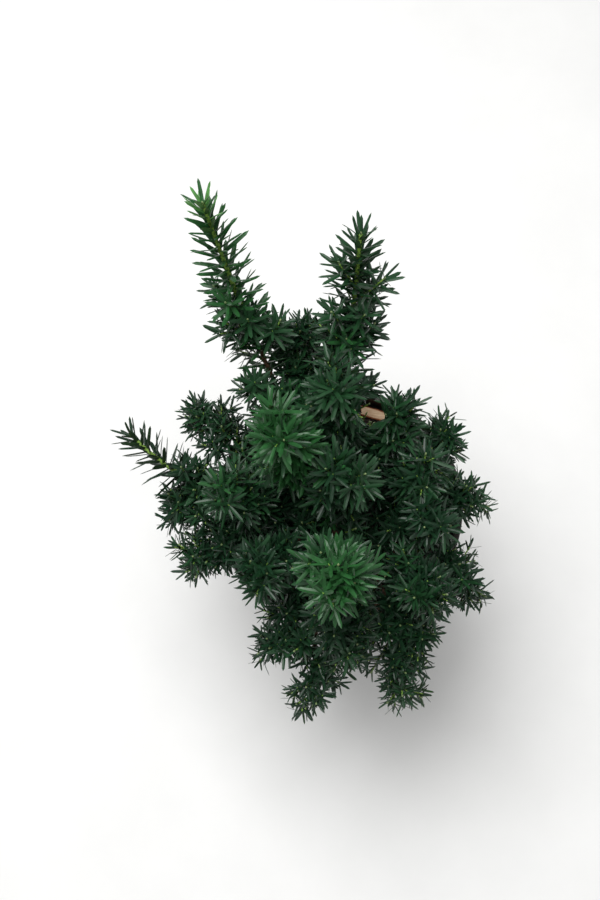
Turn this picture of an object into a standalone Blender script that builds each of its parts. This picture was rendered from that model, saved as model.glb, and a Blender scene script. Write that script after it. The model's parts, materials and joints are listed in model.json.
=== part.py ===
"""A potted dwarf Japanese yew: nursery pot, bark soil, short trunk, boughs and masses of needles.

Metres, +Z up. The origin is the centre of the pot's flat underside. Every limb grows out and then
up on one arc: its first stretch is a bough, and the rest is the stem of a mass of needles.
"""

import math
import random
from typing import NamedTuple

import bmesh
import bpy
import numpy as np
from mathutils import Matrix, Vector

MM = 0.001
GAP = 0.3 * MM
UP = Vector((0, 0, 1))
GOLDEN_ANGLE = math.radians(137.5)

# Pot, a thin taper with a folded rim and drain holes round its foot
POT_HEIGHT = 215 * MM
POT_TOP_RADIUS = 112 * MM
POT_FOOT_RADIUS = 84 * MM
POT_WALL = 1.6 * MM
POT_FLOOR = 2.2 * MM
RIM_FOLD = 14 * MM
RIM_PROUD = 4.6 * MM
POT_STEPS = 32
DRAIN_HOLES = 6
DRAIN_RADIUS = 7 * MM

# Soil and the bark chips that lie on it: length, width, turn, distance from the middle, bearing
SOIL_TOP = 202 * MM
CHIP_THICKNESS = 3.5 * MM
CHIPS = (
    (27, 10, -17, 96, 71),
    (20, 12, 70, 78, 12),
    (24, 11, 35, 74, 215),
)

# Trunk, from the flat cut on the soil to the fork
TRUNK_HEIGHT = 62 * MM
TRUNK_FOOT_RADIUS = 10.5 * MM
TRUNK_TOP_RADIUS = 6.2 * MM
TRUNK_LEAN = Vector((-6 * MM, -12 * MM))
TRUNK_SIDES = 12
TRUNK_RINGS = 9
FLARE = 6 * MM
FLARE_HEIGHT = 11 * MM
FLARE_LOBES = 4

# Limbs: how each arc bends, and how thick its bough is
OUT_SHARE = 0.60
UP_SHARE = 0.16
BOUGH_STEPS = 5
STEM_STEPS = 4
BOUGH_TIP_RADIUS = 2.0 * MM
SIDE_BOUGH_SHARE = 0.80
CUTTER_PROUD = GAP / math.cos(math.pi / 6)
STEM_TIP_RADIUS = 1.3 * MM

# Side shoots and needles, which are fewer and larger than life
SIDE_SPREAD = math.radians(52)
SIDE_TURNS_UP = 0.55
SIDE_RADIUS = 2.2 * MM
NEEDLE_WIDTH = 6.4 * MM
NEEDLE_THICKNESS = 1.6 * MM
NEEDLE_WIDEST = 0.34
LOW_NEEDLE = 22 * MM
HIGH_NEEDLE = 31 * MM
NEEDLES_A_SHOOT = 5
NEEDLE_TRIES = 12


class Limb(NamedTuple):
    """A bough and the mass of needles at its end. Lengths are in millimetres, angles in degrees."""

    name: str
    parent: str
    leaves_at: float  # share of the trunk, or of its parent's bough
    bearing: float  # of the tip, seen from the pot's middle
    reach: float  # of the tip, from the pot's middle
    height: float  # of the tip, above the pot's underside
    arch: float  # how far the arc is lifted at its bend
    swing: float  # how far the arc bends sideways
    bough: float  # the bough's share of the arc
    shoots: int  # side shoots of the mass
    length: float  # of the longest side shoot
    turn: float  # bearing of the first side shoot round the stem
    radius: float = 0  # where it leaves the trunk; worked out for one that leaves a bough


LIMBS = (
    Limb("leader_left", "trunk", 0.62, 123, 201, 456, 0, 0, 0.42, 4, 40, 200, 4.6),
    Limb("leader_right", "trunk", 0.86, 86, 156, 432, 0, 0, 0.42, 4, 40, 250, 4.4),
    Limb("back_left", "leader_left", 0.50, 106, 134, 305, 4, 6, 0.40, 3, 34, 90),
    Limb("back_low", "leader_right", 0.45, 96, 112, 252, 8, 10, 0.45, 3, 30, 60),
    Limb("crown_back", "leader_right", 0.62, 98, 48, 380, 0, 25, 0.35, 3, 34, 0),
    Limb("crown_left", "trunk", 0.78, 173, 54, 405, 0, 0, 0.40, 4, 36, 240, 3.8),
    Limb("crown_middle", "trunk", 1.00, 258, 18, 365, 0, 0, 0.00, 4, 36, 120),
    Limb("crown_front", "trunk", 0.76, 265, 111, 390, 0, 0, 0.42, 4, 38, 30, 4.2),
    Limb("right_back", "trunk", 0.68, 42, 66, 332, 0, 0, 0.42, 3, 32, 300, 3.4),
    Limb("right_edge", "trunk", 0.50, 355, 112, 265, 6, 0, 0.48, 3, 30, 60, 4.0),
    Limb("right_high", "right_edge", 0.50, 357, 66, 322, 0, 12, 0.36, 3, 32, 180),
    Limb("right_far_back", "right_edge", 0.72, 26, 101, 276, 4, 0, 0.40, 3, 28, 0),
    Limb("right_low", "trunk", 0.36, 323, 142, 244, 16, 0, 0.46, 3, 30, 90, 4.0),
    Limb("right_middle", "right_low", 0.45, 330, 86, 312, 0, 14, 0.36, 3, 32, 30),
    Limb("right_front", "right_low", 0.66, 305, 124, 292, 2, 0, 0.38, 4, 32, 320),
    Limb("front_low", "trunk", 0.26, 288, 184, 216, 34, 0, 0.48, 4, 30, 20, 4.0),
    Limb("front_right", "front_low", 0.50, 296, 145, 250, 8, 0, 0.42, 3, 30, 240),
    Limb("front_middle", "crown_front", 0.60, 270, 146, 276, 6, 0, 0.42, 4, 30, 60),
    Limb("front_left", "trunk", 0.32, 248, 153, 236, 18, 0, 0.46, 4, 30, 60, 4.0),
    Limb("front_low_left", "front_left", 0.60, 262, 182, 217, 20, 0, 0.42, 3, 30, 170),
    Limb("left_front", "trunk", 0.64, 229, 113, 300, 0, 0, 0.44, 4, 32, 30, 3.8),
    Limb("left_low_front", "trunk", 0.42, 205, 146, 250, 12, 0, 0.46, 4, 32, 30, 3.8),
    Limb("left_long", "trunk", 0.56, 168, 184, 296, 4, 24, 0.44, 4, 32, 30, 4.2),
    Limb("left_middle", "left_long", 0.45, 193, 96, 322, 0, 0, 0.36, 3, 34, 330),
    Limb("left_low", "left_long", 0.75, 185, 142, 250, 6, 0, 0.40, 3, 30, 120),
    Limb("left_back", "left_long", 0.60, 149, 147, 246, 8, 0, 0.40, 3, 32, 100),
)


class Shoot(NamedTuple):
    """A straight stretch of twig that needles stand on."""

    base: Vector
    tip: Vector
    starts: float  # share of its length that is bare


def new_material(name, colour, roughness):
    material = bpy.data.materials.new(name)
    material.use_nodes = True
    shader = material.node_tree.nodes["Principled BSDF"]
    shader.inputs["Base Color"].default_value = (*colour, 1)
    shader.inputs["Roughness"].default_value = roughness
    shader.inputs["Metallic"].default_value = 0
    return material


def new_object(name, mesh, collection, material=None):
    piece = bpy.data.objects.new(name, mesh)
    if material:
        mesh.materials.clear()
        mesh.materials.append(material)
    collection.objects.link(piece)
    return piece


def mesh_from(bm, name):
    bmesh.ops.recalc_face_normals(bm, faces=bm.faces)
    mesh = bpy.data.meshes.new(name)
    bm.to_mesh(mesh)
    bm.free()
    return mesh


def evaluated_mesh(piece):
    depsgraph = bpy.context.evaluated_depsgraph_get()
    return bpy.data.meshes.new_from_object(piece.evaluated_get(depsgraph))


def remove(piece):
    mesh = piece.data
    bpy.data.objects.remove(piece)
    if mesh.users == 0 and isinstance(mesh, bpy.types.Mesh):
        bpy.data.meshes.remove(mesh)


def cut(piece, cutter):
    """Takes the cutter's shape out of the piece and applies the cut."""
    modifier = piece.modifiers.new("Cut", "BOOLEAN")
    modifier.operation = "DIFFERENCE"
    modifier.object = cutter
    old = piece.data
    new = evaluated_mesh(piece)
    piece.modifiers.clear()
    piece.data = new
    bpy.data.meshes.remove(old)


def turned(name, profile, collection, material):
    """A turned piece from (radius, height) points that run up its inside and down its outside."""
    mesh = bpy.data.meshes.new(name)
    points = [(radius, 0, height) for radius, height in profile]
    mesh.from_pydata(points, [(i, i + 1) for i in range(len(points) - 1)], [])
    piece = new_object(name, mesh, collection, material)
    screw = piece.modifiers.new("Turn", "SCREW")
    screw.steps = POT_STEPS
    screw.render_steps = POT_STEPS
    screw.use_merge_vertices = True
    screw.merge_threshold = 0.00001
    screw.use_smooth_shade = False
    return piece


def pot_radius(height):
    """The outer wall's radius below the rim."""
    top = POT_TOP_RADIUS - RIM_PROUD
    return POT_FOOT_RADIUS + (top - POT_FOOT_RADIUS) * height / POT_HEIGHT


def pot_profile():
    lip = 1.2 * MM
    fold_gap = RIM_PROUD - POT_WALL
    under_rim = POT_HEIGHT - 1.4 * POT_WALL
    inner_top = pot_radius(POT_HEIGHT) - POT_WALL
    return (
        (0, POT_FLOOR),
        (pot_radius(POT_FLOOR) - 2 * POT_WALL, POT_FLOOR),
        (pot_radius(POT_FLOOR) - POT_WALL, POT_FLOOR + POT_WALL),
        (inner_top, POT_HEIGHT - lip),
        (inner_top + lip, POT_HEIGHT),
        (POT_TOP_RADIUS - lip, POT_HEIGHT),
        (POT_TOP_RADIUS, POT_HEIGHT - lip),
        (POT_TOP_RADIUS, POT_HEIGHT - RIM_FOLD),
        (POT_TOP_RADIUS - POT_WALL, POT_HEIGHT - RIM_FOLD),
        (pot_radius(under_rim) + fold_gap, under_rim),
        (pot_radius(under_rim), under_rim),
        (pot_radius(2 * MM), 2 * MM),
        (POT_FOOT_RADIUS - 1.5 * MM, 0),
        (0, 0),
    )


def build_pot(collection, cutters, material):
    pot = turned("pot", pot_profile(), collection, material)
    for i in range(DRAIN_HOLES):
        bm = bmesh.new()
        bmesh.ops.create_cone(
            bm,
            cap_ends=True,
            segments=8,
            radius1=DRAIN_RADIUS,
            radius2=DRAIN_RADIUS,
            depth=4 * DRAIN_RADIUS,
        )
        cutter = new_object(f"drain_cutter_{i + 1}", mesh_from(bm, "drain_cutter"), cutters)
        bearing = 2 * math.pi * (i + 0.5) / DRAIN_HOLES
        outward = Vector((math.cos(bearing), math.sin(bearing), 0))
        cutter.rotation_mode = "QUATERNION"
        cutter.rotation_quaternion = (outward - 1.2 * UP).to_track_quat("Z", "Y")
        cutter.location = outward * (POT_FOOT_RADIUS - 3 * MM)
        cutter.display_type = "WIRE"
        cutter.hide_render = True
        modifier = pot.modifiers.new(f"Drain {i + 1}", "BOOLEAN")
        modifier.operation = "DIFFERENCE"
        modifier.object = cutter
    return pot


def build_soil(collection, material):
    facet = math.cos(math.pi / POT_STEPS)
    clearance = GAP / facet
    foot = POT_FLOOR + GAP
    low_radius = pot_radius(foot) - 2 * POT_WALL - clearance
    shoulder = foot + 2 * POT_WALL
    profile = (
        (0, SOIL_TOP),
        (pot_radius(SOIL_TOP) - POT_WALL - clearance, SOIL_TOP),
        (pot_radius(shoulder) - POT_WALL - clearance, shoulder),
        (low_radius, foot),
        (0, foot),
    )
    return turned("soil", profile, collection, material)


def build_chip(index, size, collection, material):
    """A split chip of bark, bowed along its length, that lies on the soil."""
    length, width, turn, reach, bearing = size
    bm = bmesh.new()
    bmesh.ops.create_cube(bm, size=1)
    edges = [e for e in bm.edges if abs(e.verts[0].co.x - e.verts[1].co.x) > 0.5]
    bmesh.ops.subdivide_edges(bm, edges=edges, cuts=3, use_grid_fill=True)
    for vert in bm.verts:
        along = 2 * vert.co.x
        narrow = 1 - 0.35 * along * along
        vert.co.x *= length * MM
        vert.co.y *= width * MM * narrow
        vert.co.z = (vert.co.z + 0.5) * CHIP_THICKNESS + 0.8 * MM * (1 - along * along)
    mesh = mesh_from(bm, f"bark_chip_{index}")
    bearing = math.radians(bearing)
    place = Matrix.Translation(
        (reach * MM * math.cos(bearing), reach * MM * math.sin(bearing), SOIL_TOP + GAP)
    )
    mesh.transform(place @ Matrix.Rotation(math.radians(turn), 4, "Z"))
    return new_object(f"bark_chip_{index}", mesh, collection, material)


def trunk_middle(share):
    """The trunk's middle at a share of its height, which leans more towards the top."""
    lean = TRUNK_LEAN * share**1.4
    return Vector((lean.x, lean.y, SOIL_TOP + GAP + share * TRUNK_HEIGHT))


def trunk_radius(share):
    return TRUNK_FOOT_RADIUS + (TRUNK_TOP_RADIUS - TRUNK_FOOT_RADIUS) * share**0.8


def trunk_mesh(name, grown=0.0):
    """The trunk with its root flare. With grown, it is that much fatter and runs on past both ends."""
    bm = bmesh.new()
    bmesh.ops.create_cone(
        bm, cap_ends=True, segments=TRUNK_SIDES, radius1=1, radius2=1, depth=1
    )
    upright = [e for e in bm.edges if abs(e.verts[0].co.z - e.verts[1].co.z) > 0.5]
    bmesh.ops.subdivide_edges(bm, edges=upright, cuts=TRUNK_RINGS - 1, use_grid_fill=True)
    for vert in bm.verts:
        share = vert.co.z + 0.5
        rise = share * TRUNK_HEIGHT
        angle = math.atan2(vert.co.y, vert.co.x)
        lobes = 0.6 + 0.4 * math.cos(FLARE_LOBES * angle + 0.7)
        flare = FLARE * lobes * math.exp(-rise / FLARE_HEIGHT)
        radius = trunk_radius(share) + flare + grown
        middle = trunk_middle(share)
        vert.co = middle + radius * Vector((math.cos(angle), math.sin(angle), 0))
        if grown and share > 0.99:
            vert.co.z += grown
    return mesh_from(bm, name)


def bezier(start, bend, end, share):
    return start * (1 - share) ** 2 + bend * 2 * share * (1 - share) + end * share**2


class Arc:
    """The line of one limb, from where it leaves its parent to the tip of its mass."""

    def __init__(self, limb, start, radius):
        bearing = math.radians(limb.bearing)
        reach = limb.reach * MM
        self.limb = limb
        self.start = start
        self.radius = radius
        self.tip = Vector(
            (reach * math.cos(bearing), reach * math.sin(bearing), limb.height * MM)
        )
        run = self.tip - start
        rise = run.z
        run.z = 0
        run.rotate(Matrix.Rotation(math.radians(limb.swing), 3, "Z"))
        self.bend = start + run * OUT_SHARE
        self.bend.z += rise * UP_SHARE + limb.arch * MM

    def at(self, share):
        return bezier(self.start, self.bend, self.tip, share)

    def points(self, first, last, steps):
        return [self.at(first + (last - first) * i / steps) for i in range(steps + 1)]

    def bough_radius(self, share):
        return self.radius + (BOUGH_TIP_RADIUS - self.radius) * share**0.8

    def bough_line(self):
        """The points and radii of the limb's bough."""
        radii = [self.bough_radius(i / BOUGH_STEPS) for i in range(BOUGH_STEPS + 1)]
        return self.points(0, self.limb.bough, BOUGH_STEPS), radii


def grow_arcs():
    """Every limb's arc by name. A limb that leaves a bough starts on that bough's middle line."""
    arcs = {}
    for limb in LIMBS:
        if limb.parent == "trunk":
            arcs[limb.name] = Arc(limb, trunk_middle(limb.leaves_at), limb.radius * MM)
            continue
        parent = arcs[limb.parent]
        start = parent.at(limb.leaves_at * parent.limb.bough)
        arcs[limb.name] = Arc(limb, start, SIDE_BOUGH_SHARE * parent.bough_radius(limb.leaves_at))
    return arcs


def tube(name, points, radii, resolution, collection):
    """A tapering limb along points, as a closed mesh."""
    curve = bpy.data.curves.new(name, "CURVE")
    curve.dimensions = "3D"
    curve.bevel_depth = 1
    curve.bevel_resolution = resolution
    curve.use_fill_caps = True
    spline = curve.splines.new("POLY")
    spline.points.add(len(points) - 1)
    for point, place, radius in zip(spline.points, points, radii, strict=True):
        point.co = (*place, 1)
        point.radius = radius
    guide = bpy.data.objects.new(name, curve)
    collection.objects.link(guide)
    bpy.context.view_layer.update()
    mesh = evaluated_mesh(guide)
    mesh.transform(guide.matrix_world)
    bpy.data.objects.remove(guide)
    bpy.data.curves.remove(curve)
    bm = bmesh.new()
    bm.from_mesh(mesh)
    bpy.data.meshes.remove(mesh)
    bmesh.ops.remove_doubles(bm, verts=bm.verts, dist=0.00001)
    mesh = mesh_from(bm, name)
    return new_object(name, mesh, collection)


def build_bough(arc, arcs, collection, cutters, material):
    limb = arc.limb
    piece = tube(f"bough_{limb.name}", *arc.bough_line(), 1, collection)
    piece.data.materials.append(material)
    if limb.parent == "trunk":
        cutter = new_object("parent_cutter", trunk_mesh("parent_cutter", GAP), cutters)
    else:
        points, radii = arcs[limb.parent].bough_line()
        fatter = [radius + CUTTER_PROUD for radius in radii]
        cutter = tube("parent_cutter", points, fatter, 1, cutters)
    cut(piece, cutter)
    keep_largest_shell(piece.data)
    remove(cutter)
    return piece


def stem_points(arc):
    """The stem of a mass, which starts a gap beyond its bough's end."""
    limb = arc.limb
    end = arc.at(limb.bough)
    if limb.bough:
        before = arc.at(limb.bough * (1 - 1 / BOUGH_STEPS))
    else:
        before = end - UP
    along = (end - before).normalized()
    rest = arc.points(limb.bough, 1, STEM_STEPS)[1:]
    return [end + along * GAP, end + along * 4 * MM, *rest]


def along_line(points, share):
    """The place and direction at a share of a line's length."""
    lengths = [(b - a).length for a, b in zip(points, points[1:], strict=False)]
    left = share * sum(lengths)
    for start, end, length in zip(points, points[1:], lengths, strict=False):
        if left <= length:
            break
        left -= length
    direction = (end - start).normalized()
    return start + direction * min(left, length), direction


def around(direction, angle):
    """A unit vector square to a direction, at an angle round it."""
    side = direction.cross(Vector((0, 1, 0.01))).normalized()
    return side * math.cos(angle) + direction.cross(side) * math.sin(angle)


def side_shoots(arc, stem, rng):
    """The side shoots of a mass, at the golden angle round its stem, shorter towards its tip."""
    limb = arc.limb
    for i in range(limb.shoots):
        share = 0.20 + 0.58 * i / (limb.shoots - 1)
        base, direction = along_line(stem, share)
        out = around(direction, math.radians(limb.turn) + i * GOLDEN_ANGLE)
        heading = direction * math.cos(SIDE_SPREAD) + out * math.sin(SIDE_SPREAD)
        heading = (heading + UP * SIDE_TURNS_UP).normalized()
        length = limb.length * MM * (1.1 - 0.35 * share) * rng.uniform(0.92, 1.08)
        yield Shoot(base, base + heading * length, 0.30)


def segment_gaps(start, end, starts, ends):
    """Shortest distances from one segment to each of many."""
    one = end - start
    many = ends - starts
    between = start - starts
    a = one @ one
    e = (many * many).sum(axis=1)
    f = (many * between).sum(axis=1)
    b = many @ one
    c = between @ one
    spread = np.maximum(a * e - b * b, 1e-18)
    s = np.clip((b * f - c * e) / spread, 0, 1)
    t = np.clip((b * s + f) / e, 0, 1)
    s = np.clip((b * t - c) / a, 0, 1)
    return np.linalg.norm(between + s[:, None] * one - t[:, None] * many, axis=1)


class Space:
    """What has grown so far, as capsules with their owners, so that masses keep clear of each other."""

    def __init__(self):
        self.starts = []
        self.ends = []
        self.radii = []
        self.owners = []

    def add(self, owner, start, end, radius):
        self.starts.append(tuple(start))
        self.ends.append(tuple(end))
        self.radii.append(radius)
        self.owners.append(owner)

    def add_line(self, owner, points, radii):
        for start, end, radius in zip(points, points[1:], radii, strict=False):
            self.add(owner, start, end, radius)

    def room(self, owner, start, end, radius):
        """The least gap to what other owners hold."""
        others = np.array([held != owner for held in self.owners])
        gaps = segment_gaps(
            np.array(start),
            np.array(end),
            np.array(self.starts)[others],
            np.array(self.ends)[others],
        )
        return float((gaps - np.array(self.radii)[others]).min() - radius)

    def is_clear(self, owner, start, end, radius):
        return above_soil_and_off_pot(start, end, radius) and (
            self.room(owner, start, end, radius) > 2 * GAP
        )


def above_soil_and_off_pot(start, end, radius):
    """Whether a twig or needle keeps off the soil and the pot's wall."""
    for i in range(9):
        place = start.lerp(end, i / 8)
        out = math.hypot(place.x, place.y)
        inside = pot_radius(min(place.z, POT_HEIGHT)) - POT_WALL - radius - GAP
        outside = POT_TOP_RADIUS + radius + GAP
        if place.z < SOIL_TOP + radius + GAP and out < outside:
            return False
        if place.z < POT_HEIGHT + radius + GAP and inside < out < outside:
            return False
    return True


def hold_limbs(space, arcs):
    """Fills the space with the trunk, the boughs, the stems and the chips."""
    rings = [trunk_middle(i / 8) for i in range(9)]
    space.add_line("trunk", rings, [trunk_radius(i / 8) + 1 * MM for i in range(8)])
    for index, (length, _, turn, reach, bearing) in enumerate(CHIPS):
        bearing = math.radians(bearing)
        middle = Vector((math.cos(bearing), math.sin(bearing), 0)) * reach * MM
        middle.z = SOIL_TOP + 2 * MM
        half = Vector((math.cos(math.radians(turn)), math.sin(math.radians(turn)), 0))
        half *= length * MM / 2
        space.add(f"chip_{index}", middle - half, middle + half, 6 * MM)
    for name, arc in arcs.items():
        if arc.limb.bough:
            space.add_line(f"bough_{name}", *arc.bough_line())
    for name, arc in arcs.items():
        space.add_line(name, stem_points(arc)[1:], [BOUGH_TIP_RADIUS] * STEM_STEPS)


class Needle(NamedTuple):
    """A needle's root, tip and the way its flat face looks."""

    root: Vector
    tip: Vector
    face: Vector


def needle_length(height):
    """Needles are longer on the tall shoots than low down."""
    share = min(max((height - 0.23) / 0.20, 0), 1)
    return LOW_NEEDLE + (HIGH_NEEDLE - LOW_NEEDLE) * share


def grow_needles(name, shoot, space, rng, wanted):
    """Needles round a shoot at the golden angle, closer to its line towards the tip."""
    direction = (shoot.tip - shoot.base).normalized()
    first_turn = rng.uniform(0, 2 * math.pi)
    grown = []
    for i in range(NEEDLE_TRIES):
        share = shoot.starts + (0.97 - shoot.starts) * (i / (NEEDLE_TRIES - 1)) ** 0.75
        lean = math.radians(66 - 30 * share**2)
        out = around(direction, first_turn + i * GOLDEN_ANGLE)
        heading = direction * math.cos(lean) + out * math.sin(lean)
        root = shoot.base.lerp(shoot.tip, share)
        length = needle_length(root.z) * rng.uniform(0.88, 1.08)
        tip = root + heading * length
        enough = len(grown) >= wanted * (i + 1) / NEEDLE_TRIES
        if enough or not space.is_clear(name, root, tip, NEEDLE_WIDTH / 2):
            continue
        space.add(name, root, tip, NEEDLE_WIDTH / 2)
        grown.append(Needle(root - heading * 0.6 * MM, tip, direction))
    return grown


def grow_mass(arc, space, rng):
    """A mass's side shoots and the stretch of its stem that has needles."""
    stem = stem_points(arc)
    shoots = []
    for shoot in side_shoots(arc, stem, rng):
        if space.is_clear(arc.limb.name, shoot.base, shoot.tip, SIDE_RADIUS):
            space.add(arc.limb.name, shoot.base, shoot.tip, SIDE_RADIUS)
            shoots.append(shoot)
    return stem, shoots


def add_cone(parts, name, start, end, first_radius, last_radius):
    bm = bmesh.new()
    length = (end - start).length
    turn = (end - start).to_track_quat("Z", "Y").to_matrix().to_4x4()
    bmesh.ops.create_cone(
        bm,
        cap_ends=True,
        segments=3,
        radius1=first_radius,
        radius2=last_radius,
        depth=length,
        matrix=Matrix.Translation((start + end) / 2) @ turn,
    )
    return new_object(name, mesh_from(bm, name), parts)


def add_needle(parts, name, needle):
    """A flat pointed needle with a keel below, widest a third of the way along."""
    run = needle.tip - needle.root
    along = run.normalized()
    across = along.cross(needle.face).normalized()
    above = across.cross(along)
    bm = bmesh.new()
    bmesh.ops.create_uvsphere(bm, u_segments=3, v_segments=2, radius=1)
    for vert in bm.verts:
        place = needle.root + run * ((vert.co.z + 1) / 2)
        if abs(vert.co.z) < 0.5:
            place = needle.root + run * NEEDLE_WIDEST
        place += across * vert.co.y * NEEDLE_WIDTH / math.sqrt(3)
        vert.co = place + above * vert.co.x * NEEDLE_THICKNESS * 2 / 3
    return new_object(name, mesh_from(bm, name), parts)


def keep_largest_shell(mesh):
    """Leaves one closed shell: loose scraps go, and sealed hollows are filled."""
    bm = bmesh.new()
    bm.from_mesh(mesh)
    left = set(bm.faces)
    shells = []
    while left:
        shell = {left.pop()}
        edge_of_shell = set(shell)
        while edge_of_shell:
            near = {f for face in edge_of_shell for e in face.edges for f in e.link_faces}
            edge_of_shell = near - shell
            shell |= near
        left -= shell
        shells.append(shell)
    largest = max(shells, key=len)
    doomed = [face for shell in shells if shell is not largest for face in shell]
    bmesh.ops.delete(bm, geom=doomed, context="FACES")
    bm.to_mesh(mesh)
    bm.free()
    return len(shells) - 1


def join(base, parts, solver):
    """The union of the stem with the twigs and needles of its collection."""
    modifier = base.modifiers.new("Join", "BOOLEAN")
    modifier.operation = "UNION"
    modifier.operand_type = "COLLECTION"
    modifier.collection = parts
    modifier.solver = solver
    bpy.context.view_layer.update()
    joined = evaluated_mesh(base)
    base.modifiers.clear()
    return joined


def build_mass(arc, stem, shoots, needles, collection, parts, material):
    name = f"needles_{arc.limb.name}"
    first = BOUGH_TIP_RADIUS
    steps = len(stem) - 1
    radii = [first + (STEM_TIP_RADIUS - first) * i / steps for i in range(steps + 1)]
    piece = tube(name, stem, radii, 0, collection)
    for i, shoot in enumerate(shoots):
        add_cone(parts, f"twig_{i}", shoot.base, shoot.tip, SIDE_RADIUS, 0.6 * SIDE_RADIUS)
    for i, needle in enumerate(needles):
        add_needle(parts, f"needle_{i}", needle)
    old = piece.data
    piece.data = join(piece, parts, "EXACT")
    bpy.data.meshes.remove(old)
    keep_largest_shell(piece.data)
    piece.data.materials.clear()
    piece.data.materials.append(material)
    for part in list(parts.objects):
        remove(part)
    return piece


def build_masses(arcs, collection, parts, material):
    space = Space()
    hold_limbs(space, arcs)
    rng = random.Random(7)
    grown = {name: grow_mass(arc, space, rng) for name, arc in arcs.items()}
    for name, (stem, shoots) in grown.items():
        leader = Shoot(stem[-3], stem[-1], 0.10)
        needles = grow_needles(name, leader, space, rng, NEEDLES_A_SHOOT)
        for shoot in shoots:
            needles += grow_needles(name, shoot, space, rng, NEEDLES_A_SHOOT)
        build_mass(arcs[name], stem, shoots, needles, collection, parts, material)


def clear_scene():
    for piece in list(bpy.data.objects):
        bpy.data.objects.remove(piece)


def new_collection(name):
    collection = bpy.data.collections.new(name)
    bpy.context.scene.collection.children.link(collection)
    return collection


def main():
    clear_scene()
    plant = new_collection("potted_dwarf_yew")
    cutters = new_collection("cutters")
    parts = new_collection("mass_parts")
    plastic = new_material("black_plastic", (0.012, 0.011, 0.011), 0.45)
    mulch = new_material("bark_soil", (0.045, 0.025, 0.016), 0.95)
    chip_wood = new_material("split_bark", (0.62, 0.42, 0.25), 0.80)
    bark = new_material("yew_bark", (0.12, 0.055, 0.032), 0.85)
    foliage = new_material("yew_needles", (0.018, 0.075, 0.030), 0.50)
    build_pot(plant, cutters, plastic)
    build_soil(plant, mulch)
    for index, size in enumerate(CHIPS):
        build_chip(index + 1, size, plant, chip_wood)
    new_object("trunk", trunk_mesh("trunk"), plant, bark)
    arcs = grow_arcs()
    for arc in arcs.values():
        if arc.limb.bough:
            build_bough(arc, arcs, plant, cutters, bark)
    build_masses(arcs, plant, parts, foliage)


main()
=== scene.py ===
import json
import math
from typing import NamedTuple

import bmesh
import bpy
import numpy as np
from mathutils import Matrix, Vector, noise

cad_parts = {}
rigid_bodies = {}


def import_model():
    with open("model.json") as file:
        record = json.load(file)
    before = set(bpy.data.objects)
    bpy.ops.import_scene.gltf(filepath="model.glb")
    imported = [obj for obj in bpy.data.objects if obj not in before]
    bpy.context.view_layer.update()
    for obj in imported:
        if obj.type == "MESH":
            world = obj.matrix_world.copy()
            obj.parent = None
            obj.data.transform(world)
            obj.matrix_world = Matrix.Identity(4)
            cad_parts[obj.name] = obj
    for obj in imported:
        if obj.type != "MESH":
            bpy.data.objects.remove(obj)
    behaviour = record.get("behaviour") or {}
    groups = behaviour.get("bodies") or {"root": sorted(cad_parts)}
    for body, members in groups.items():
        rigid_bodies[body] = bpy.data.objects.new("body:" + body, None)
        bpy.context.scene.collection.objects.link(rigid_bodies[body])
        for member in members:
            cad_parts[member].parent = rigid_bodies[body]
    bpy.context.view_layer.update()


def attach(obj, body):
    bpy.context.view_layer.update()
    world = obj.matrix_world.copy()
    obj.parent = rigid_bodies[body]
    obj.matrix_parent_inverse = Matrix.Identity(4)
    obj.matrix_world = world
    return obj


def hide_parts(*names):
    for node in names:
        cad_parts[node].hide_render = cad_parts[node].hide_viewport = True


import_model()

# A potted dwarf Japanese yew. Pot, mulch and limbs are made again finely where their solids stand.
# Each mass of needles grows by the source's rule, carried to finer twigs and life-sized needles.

MM = 0.001
GAP = 0.3 * MM
UP = Vector((0, 0, 1))
ACROSS = (0.0, 1.0, 0.01)  # what a line is crossed with to find its side
GOLDEN_ANGLE = math.radians(137.5)
SEED = 7

# Pot, with its ribs as shares of the height and millimetres proud
POT_HEIGHT = 215 * MM
POT_TOP_RADIUS = 112 * MM
POT_FOOT_RADIUS = 84 * MM
POT_WALL = 1.6 * MM
POT_FLOOR = 2.2 * MM
RIM_FOLD = 14 * MM
RIM_PROUD = 4.6 * MM
POT_RIBS = ((0.78, 0.7), (0.75, 0.7), (0.14, 0.6), (0.11, 0.6))
RIB_REACH = 2 * MM
RIB_FLAT = 0.6 * MM
FOOT_ROUNDING = 2.5 * MM
POT_STEPS = 160
POT_CREASE = math.radians(34)
DRAIN_HOLES = 6
DRAIN_RADIUS = 7 * MM
DRAIN_SLANT = 1.2
DRAIN_INSET = 3 * MM

# Mulch, and the crumbs on it: name, how many, the longest, dark and light colour
SOIL_TOP = 202 * MM
SOIL_RINGS = 46
SOIL_ROUGHNESS = 1.8 * MM
SOIL_WAVES = 70
CRUMBS_OFF_WALL = 7 * MM
CRUMB_TILT = 0.28
CRUMBS = (
    ("crumbs_dark", 1900, 8 * MM, (0.005, 0.003, 0.002), (0.022, 0.012, 0.008)),
    ("crumbs_brown", 1100, 11 * MM, (0.010, 0.005, 0.003), (0.036, 0.018, 0.011)),
    ("crumbs_pale", 90, 8 * MM, (0.090, 0.050, 0.028), (0.230, 0.135, 0.080)),
)

# Split chips of bark, whose pale wood shows above and inside a share of the outline
CHIP_THICKNESS = 3.5 * MM
CHIP_CUTS = (27, 9, 3)
CHIP_TAPER = 0.14
CHIP_CROWN = 0.8 * MM
CHIP_FIBRE = 0.22 * MM
CHIP_CREASE = math.radians(40)
CHIP_WOOD_SHARE = 0.74
CHIP_WOOD_TILT = 0.4

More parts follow.
